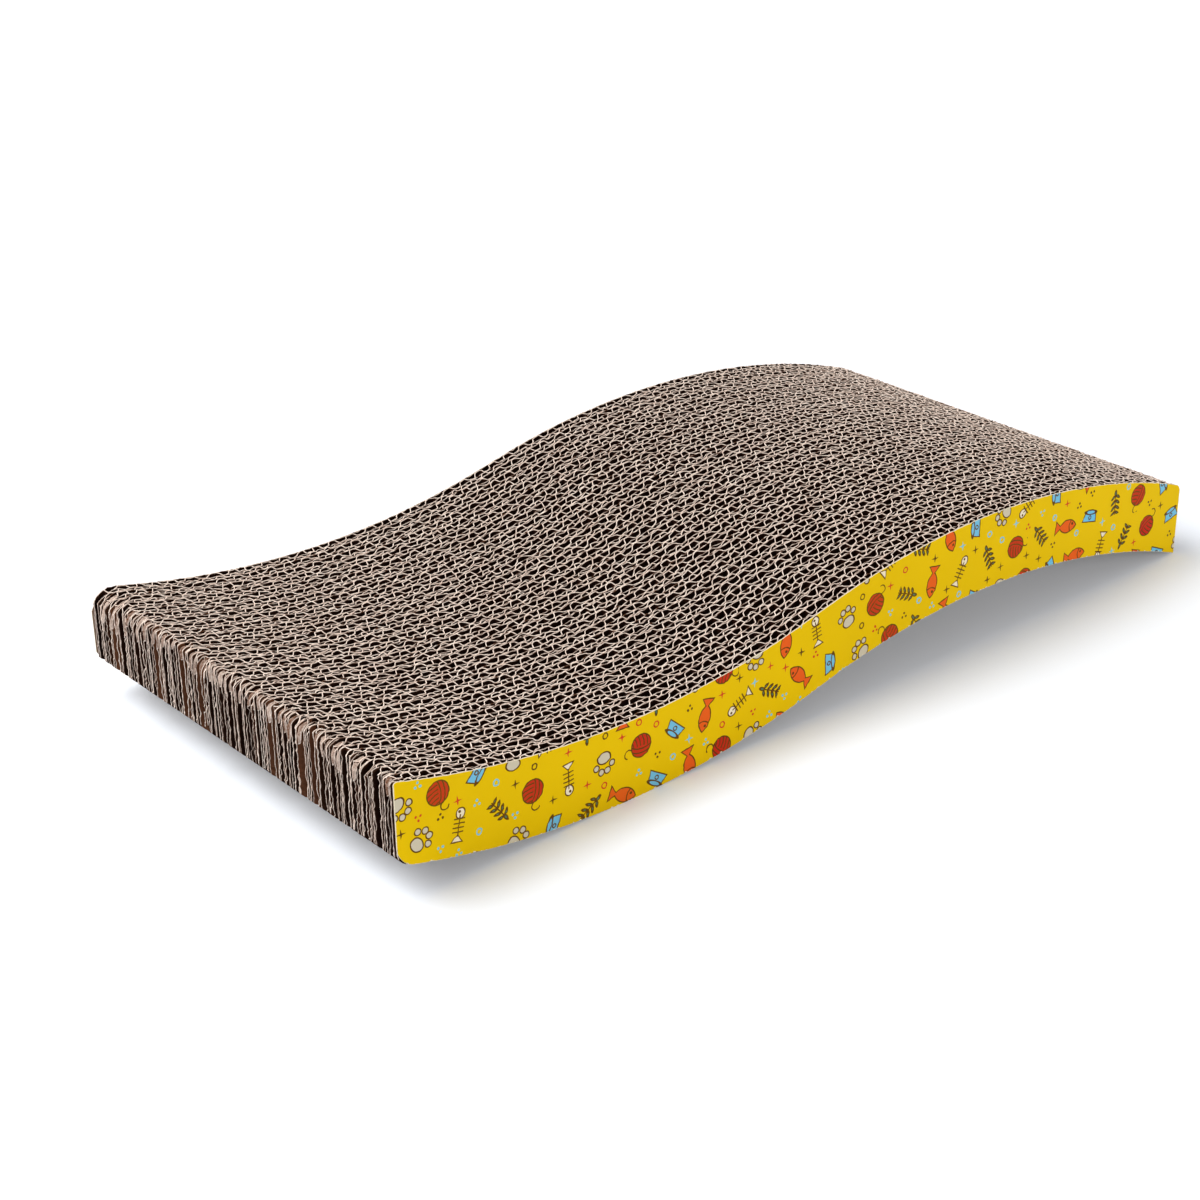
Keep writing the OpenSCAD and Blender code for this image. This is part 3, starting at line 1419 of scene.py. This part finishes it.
    def flap(self, share: float, width: float, left: bool, corner: float) -> Shell:
        """A tongue of crushed paper, bent over a rounded upper corner.

        Its profile climbs straight up the end, follows the corner's circle and runs out along the
        top, a little below the outline. Its width tapers to both tips as sqrt(1.02 -
        |2 t - 1|^2.5), and it is slightly hollow to the inside, like the flute that it was.

        Args:
            share: Where its middle lies between the strip's glue lines, from 0 to 1.
            width: Its greatest width.
            left: Whether it lies at the left end.
            corner: Radius of the rounded corner there.

        Returns:
            The closed sheet.
        """
        down, over = self.rng.uniform(0.5, 5.0) * MM, self.rng.uniform(0.5, 2.2) * MM
        sunk = self.rng.uniform(0.5, 1.0) * MM
        count, bend = 16, 1.35
        t = np.linspace(0, 1, count)
        v = np.linspace(1, -1, 5)
        turn = corner * bend
        run = t * (down + turn + over)
        angle = np.clip((run - down) / corner, 0, bend)
        end_x = WAVE.left if left else WAVE.right
        inward = 1.0 if left else -1.0
        radius = corner - sunk
        centre_x = end_x + inward * corner
        past = np.clip(run - down - turn, 0, None)
        x = centre_x - inward * radius * np.cos(angle) + inward * past
        rounds = (corner, self.other_round) if left else (self.other_round, corner)
        base = WAVE.upper(np.array([end_x]), *rounds)[0]
        z = base + radius * np.sin(angle) - np.clip(down - run, 0, None)
        top = WAVE.upper(x, *rounds) - sunk
        z = np.where(run > down + 0.5 * turn, top, np.minimum(z, top))
        near, far = self.near(x), self.far(x)
        taper = np.sqrt(1.02 - np.abs(2 * t - 1) ** 2.5)
        ragged = 1 + 0.15 * Ripple(self.seed(), 4 * MM)(run)
        lean = self.rng.uniform(-0.5, 0.5) * MM * (2 * t - 1)
        middle = near + (far - near) * share + lean
        y = middle[:, None] + (width / 2 * taper * ragged)[:, None] * v
        y = np.clip(y, near[:, None] + 0.05 * MM, far[:, None] - 0.05 * MM)
        hollow = 0.5 * MM * v**2 * np.ones(count)[:, None]
        lean_x, lean_z = np.gradient(x), np.gradient(z)
        length = np.maximum(np.hypot(lean_x, lean_z), 1e-9)
        out_x = (-inward * lean_z / length)[:, None]
        out_z = (inward * lean_x / length)[:, None]
        deeper = hollow + self.liner
        outer = np.stack([x[:, None] - out_x * hollow, y, z[:, None] - out_z * hollow], -1)
        inner = np.stack([x[:, None] - out_x * deeper, y, z[:, None] - out_z * deeper], -1)
        if not left:
            outer, inner = outer[:, ::-1], inner[:, ::-1]
        cut = np.full((count, len(v)), self.rng.uniform(0.28, 0.48))
        cut[[0, -1]] = 0.9
        cut[:, [0, -1]] = 0.62
        return Shell.from_sides(outer, inner, cut, np.zeros_like(cut))

    def flaps(self, rounds: Pair) -> list[Shell]:
        """Deals out the crushed tongues, most of them in the coarse row at the left end.

        Each kind has its end, its place between the glue lines, its chance and its width in
        millimetres.

        Args:
            rounds: Radii of the rounded left and right end.

        Returns:
            The closed sheets.
        """
        made = []
        for left, share, chance, width in (
            (True, 0.70, 0.7, 2.5),
            (True, 0.20, 0.4, 1.6),
            (False, 0.70, 0.4, 2.3),
        ):
            if self.rng.uniform() < chance:
                at, wide = share + self.rng.uniform(-0.06, 0.06), width * self.rng.uniform(0.6, 1.1)
                made.append(self.flap(at, wide * MM, left, rounds[0 if left else 1]))
        return made

    def build(self, finish: bpy.types.Material) -> bpy.types.Object:
        """Builds all papers of the strip as one piece.

        In some strips the coarse flutes stay further behind the left end, and their ends show the
        walls' brown instead of the painted shade inside.

        Args:
            finish: Raw kraft board.

        Returns:
            The piece, which replaces the strip's solid.
        """
        shells, tones = [], []
        worn = self.rng.uniform(-2.2, 1.0) * MM
        rounds = (self.left_round + worn, self.rng.uniform(3.0, 5.0) * MM)
        back = self.rng.uniform(0.0, 1.0) * MM
        opened = self.rng.uniform() < 0.3
        for place, paper in enumerate(self.papers()):
            left, right = self.rng.uniform(*paper.cutting.behind, 2) * MM
            left += back + self.setback
            right += 0.6 * back
            if opened and place == 3:
                left += self.rng.uniform(1.6, 3.2) * MM
            ends = (WAVE.left + left + self.end_reach, WAVE.right - right - self.end_reach)
            made = [
                self.end(paper, rounds, WAVE.left, 1.0, left),
                self.body(paper, rounds, ends),
                self.end(paper, rounds, WAVE.right, -1.0, right),
            ]
            shells += made
            # The mark tone lifts the painted shade of the ends towards brown: fully where the
            # coarse flutes stay behind, a little at random elsewhere.
            tone = 1.0 if opened and place > 1 else self.rng.uniform(0.0, 0.7)
            tones += [np.full(len(s.points), t) for s, t in zip(made, (tone, 0.0, tone))]
        flaps = self.flaps(rounds)
        whole = joined(shells + flaps)
        tones += [np.zeros(len(s.points)) for s in flaps]
        whole.points[:, 0] = whole.points[:, 0].clip(WAVE.left, WAVE.right)
        marks = {"cut": whole.cut, "deep": whole.deep, "tone": np.concatenate(tones)}
        piece = mesh_piece(f"strip_{self.number:02d}", whole, marks, finish)
        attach(piece, "root")
        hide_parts(self.node)
        return piece


@dataclass
class StripStack:
    """All strips, glued face to face, the last ones worn rounder and shorter at their left end."""

    count: int = 31
    thickness: float = 6.58 * MM
    sway: float = 0.34 * MM
    near_round: float = 3.6 * MM
    near_strips: int = 2
    left_round: float = 5.0 * MM
    worn_round: float = 12.0 * MM
    worn_setback: float = 0.5 * MM
    worn_strips: int = 6
    first_seed: int = 7300

    def glue_line(self, number: int) -> GlueLine:
        """The line between a strip and the next one; the two outermost are straight.

        Args:
            number: Number of the strip on its near side.

        Returns:
            The line.
        """
        outermost = number in (0, self.count)
        y = (number - self.count / 2) * self.thickness
        return GlueLine(y, self.first_seed + 2 * number, 0.0 if outermost else self.sway)

    def worn(self, number: int) -> float:
        """How far into the worn far corner a strip lies, from 0 to 1."""
        return max(0, number - self.count + self.worn_strips) / self.worn_strips

    def build(self, finish: bpy.types.Material) -> None:
        """Builds every strip in order and reports it.

        Args:
            finish: Raw kraft board.
        """
        for number in range(1, self.count + 1):
            worn = self.worn(number)
            plain = self.near_round if number <= self.near_strips else self.left_round
            piece = Strip(
                number,
                self.glue_line(number - 1),
                self.glue_line(number),
                f"board_{number:02d}",
                plain + (self.worn_round - plain) * worn,
                self.worn_setback * worn**2,
            ).build(finish)
            LOG.info("%s: %d faces", piece.name, len(piece.data.polygons))


# The covers


class Side(Enum):
    """The two sides of the panel, by the direction in which their cover faces."""

    NEAR = -1
    FAR = 1


@dataclass
class Cover:
    """A printed paper cover, glued over one whole side.

    Its left end may lie inset, and its top edge dropped below the wave's.
    """

    side: Side
    node: str
    left_corner: float = 1.3 * MM
    inset: float = 0.0
    drop: float = 0.0
    outer_y: float = 102.5 * MM
    thickness: float = 0.51 * MM
    right_corner: float = 4.5 * MM
    lower_corner: float = 7.0 * MM
    step: float = 0.55 * MM
    end_reach: float = 2.5 * MM
    middle_seed: int = 900

    def shell(self) -> Shell:
        """The cover as a closed sheet with slight waves and a ragged lower edge.

        Its outer face is y = side (outer_y - dent), where dent is a ripple along the board of up
        to 0.16 mm. The lower edge is the wave's plus a fine raggedness, the upper edge the wave's
        with rounds at its ends. All four edges show cut paper.

        Returns:
            The closed sheet.
        """
        sign = float(self.side.value)
        seed = self.middle_seed + self.side.value
        ends = np.array([0.0, 0.05, 0.15, 0.35, 0.7, 1.2, 1.8]) * MM
        left = WAVE.left + self.inset
        count = int((WAVE.right - WAVE.left - 2 * self.end_reach) / self.step)
        middle = np.linspace(left + self.end_reach, WAVE.right - self.end_reach, count)
        x = np.concatenate([left + ends, middle, (WAVE.right - ends)[::-1]])
        torn = Ripple(seed, 2.6 * MM, 9)(x) * 0.6 + Ripple(seed + 7, 9 * MM)(x) * 0.4
        low = WAVE.lower(x) + WAVE.foot(x, self.lower_corner)
        low = low + np.clip(torn - 0.25, 0, 1) * 0.3 * MM
        high = WAVE.upper(x, self.left_corner, self.right_corner) - self.drop
        high = high - np.clip(Ripple(seed + 3, 6 * MM)(x), 0, 1) * 0.12 * MM
        steps = np.array([0.0, 0.1, 0.26, 0.55]) * MM
        inner = np.linspace(0.0, 1.0, 9)[1:-1]
        low_c, high_c = low[:, None], high[:, None]
        z = np.concatenate(
            [low_c + steps, low_c + (high_c - low_c) * inner, high_c - steps[::-1]], axis=1
        )
        share = (z - low_c) / (high_c - low_c)
        dent = 0.06 * MM * (1 + Ripple(seed + 5, 38 * MM)(x)[:, None] * np.cos(2.2 * share + seed))
        dent = np.clip(dent, 0, 0.16 * MM)
        edge = np.minimum(share, 1 - share) * (high_c - low_c) < 0.05 * MM
        inner_y = self.outer_y - self.thickness
        outer = self.outer_y - dent - 0.06 * MM * edge
        half = (outer - inner_y) / 2
        middle_y = sign * (outer + inner_y) / 2
        cut = np.where(edge, 1.0, 0.0)
        cut[:, 1] = np.clip(2.2 * (torn - 0.1), 0.25, 1)
        cut[:, 2] = np.clip(1.6 * (torn - 0.45), 0, 1)
        cut[:, -2] = 0.35
        near_end = np.minimum(x - left, WAVE.right - x)
        cut = np.maximum(cut, np.clip(1.1 - near_end / (0.3 * MM), 0, 1)[:, None])
        path_x = np.tile(x[:, None], (1, z.shape[1]))
        return Shell.from_levels(path_x, middle_y, z, half, cut, np.zeros_like(cut))

    def build(self, finish: bpy.types.Material) -> bpy.types.Object:
        """Builds the cover.

        Args:
            finish: The printed paper of this side.

        Returns:
            The piece, which replaces the cover's solid.
        """
        whole = self.shell()
        name = f"{self.side.name.lower()}_printed_sheet"
        bare = np.abs(whole.points[:, 1]) < self.outer_y - 0.8 * self.thickness
        marks = {"cut": whole.cut, "bare": bare.astype(float)}
        piece = mesh_piece(name, whole, marks, finish)
        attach(piece, "root")
        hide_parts(self.node)
        LOG.info("%s: %d faces", piece.name, len(piece.data.polygons))
        return piece


# The studio


@dataclass(frozen=True)
class Lamp:
    """A soft square lamp that looks at the board: its name, place, side and power in watts."""

    name: str
    place: Triple
    size: float
    power: float
    aim: Triple = (0.0, 0.0, 0.02)

    def hang(self) -> None:
        """Hangs the lamp, turned to the board."""
        light = bpy.data.lights.new(self.name, "AREA")
        light.shape, light.size, light.energy = "SQUARE", self.size, self.power
        lamp = bpy.data.objects.new(self.name, light)
        lamp.location = self.place
        look = Vector(self.aim) - Vector(self.place)
        lamp.rotation_euler = look.to_track_quat("-Z", "Y").to_euler()
        bpy.context.scene.collection.objects.link(lamp)


@dataclass
class Studio:
    """A pale floor, soft lamps, and the camera, with its lens in millimetres.

    What is seen of the floor glows, and fades to plain white between the two distances of fade.
    """

    place: Triple = (-0.5910, -0.6535, 0.4361)
    azimuth: float = 40.297
    elevation: float = 25.843
    roll: float = -0.7295
    lens: float = 69.125
    sensor: float = 36.0
    clip: Pair = (0.05, 20.0)
    floor_half: float = 6.0
    floor_colour: Colour = (0.78, 0.81, 0.86, 1.0)
    floor_glow: float = 0.16
    fade: Pair = (0.7, 2.0)
    sky_light: float = 0.40
    lamps: tuple[Lamp, ...] = (
        Lamp("key_lamp", (-1.05, 0.85, 1.75), 2.0, 67.0),
        Lamp("front_lamp", (1.4, -2.0, 0.4), 1.0, 25.0),
    )

    def camera(self) -> None:
        """Places the camera: forward = (sin a cos e, cos a cos e, -sin e), then rolled."""
        a, e, roll = (math.radians(v) for v in (self.azimuth, self.elevation, self.roll))
        forward = Vector((math.sin(a) * math.cos(e), math.cos(a) * math.cos(e), -math.sin(e)))
        level = Vector((forward.y, -forward.x, 0.0)).normalized()
        upright = level.cross(forward).normalized()
        right = level * math.cos(roll) + upright * math.sin(roll)
        up = right.cross(forward)
        lens = bpy.data.cameras.new("camera")
        lens.lens, lens.sensor_width = self.lens, self.sensor
        lens.clip_start, lens.clip_end = self.clip
        camera = bpy.data.objects.new("camera", lens)
        turned = Matrix((right, up, -forward)).transposed().to_4x4()
        camera.matrix_world = Matrix.Translation(self.place) @ turned
        bpy.context.scene.collection.objects.link(camera)
        bpy.context.scene.camera = camera

    def floor(self) -> None:
        """Lays the pale floor, which keeps the shadow and fades to plain white far off."""
        half = self.floor_half
        corners = [(-half, -half, 0), (half, -half, 0), (half, half, 0), (-half, half, 0)]
        mesh = bpy.data.meshes.new("floor")
        mesh.from_pydata(corners, [], [(0, 1, 2, 3)])
        floor = bpy.data.objects.new("floor", mesh)
        bpy.context.scene.collection.objects.link(floor)
        draft = Draft("pale_floor")
        away = draft.tree.length("LENGTH", draft.place)
        glow = draft.tree.mapped(away, *self.fade, (self.floor_glow, 1.0))
        finish = draft.shaded({
            "Base Color": self.floor_colour,
            "Roughness": 1.0,
            "Specular IOR Level": 0.0,
            "Emission Color": WHITE,
            "Emission Strength": draft.tree.seen() * glow,
        })
        floor.data.materials.append(finish)

    def sky(self) -> None:
        """Lights the scene evenly, and shows white behind the floor."""
        world = bpy.data.worlds.new("studio")
        bpy.context.scene.world = world
        world.use_nodes = True
        tree = Tree(world.node_tree)
        back = world.node_tree.nodes["Background"]
        tree.feed(back.inputs["Strength"], tree.mixed(tree.seen(), self.sky_light, 1.0))
        back.inputs["Color"].default_value = WHITE

    def build(self) -> None:
        """Sets up camera, floor, sky and lamps."""
        self.camera()
        self.floor()
        self.sky()
        for lamp in self.lamps:
            lamp.hang()
        bpy.context.scene.view_settings.view_transform = "Standard"


def main() -> None:
    """Builds the studio, the strips and the covers, and reports each piece."""
    logging.basicConfig(level=logging.INFO, format="%(message)s")
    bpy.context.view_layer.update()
    Studio().build()
    fibres, edge, play = paper_fibres(), frayed_edge(), PlayPrint().group()
    StripStack().build(KraftBoard(fibres, edge).material())
    near_print = PrintedPaper(
        fibres, edge, play, name="near_print", shift=(6.0, 4.0, 0.0), mirrored=False
    )
    far_print = PrintedPaper(
        fibres, edge, play, name="far_print", shift=(133.0, 9.0, 0.0), mirrored=True
    )
    Cover(Side.NEAR, "near_cover").build(near_print.material())
    far = Cover(Side.FAR, "far_cover", left_corner=12.0 * MM, inset=0.9 * MM, drop=0.45 * MM)
    far.build(far_print.material())


if __name__ == "__main__":
    main()
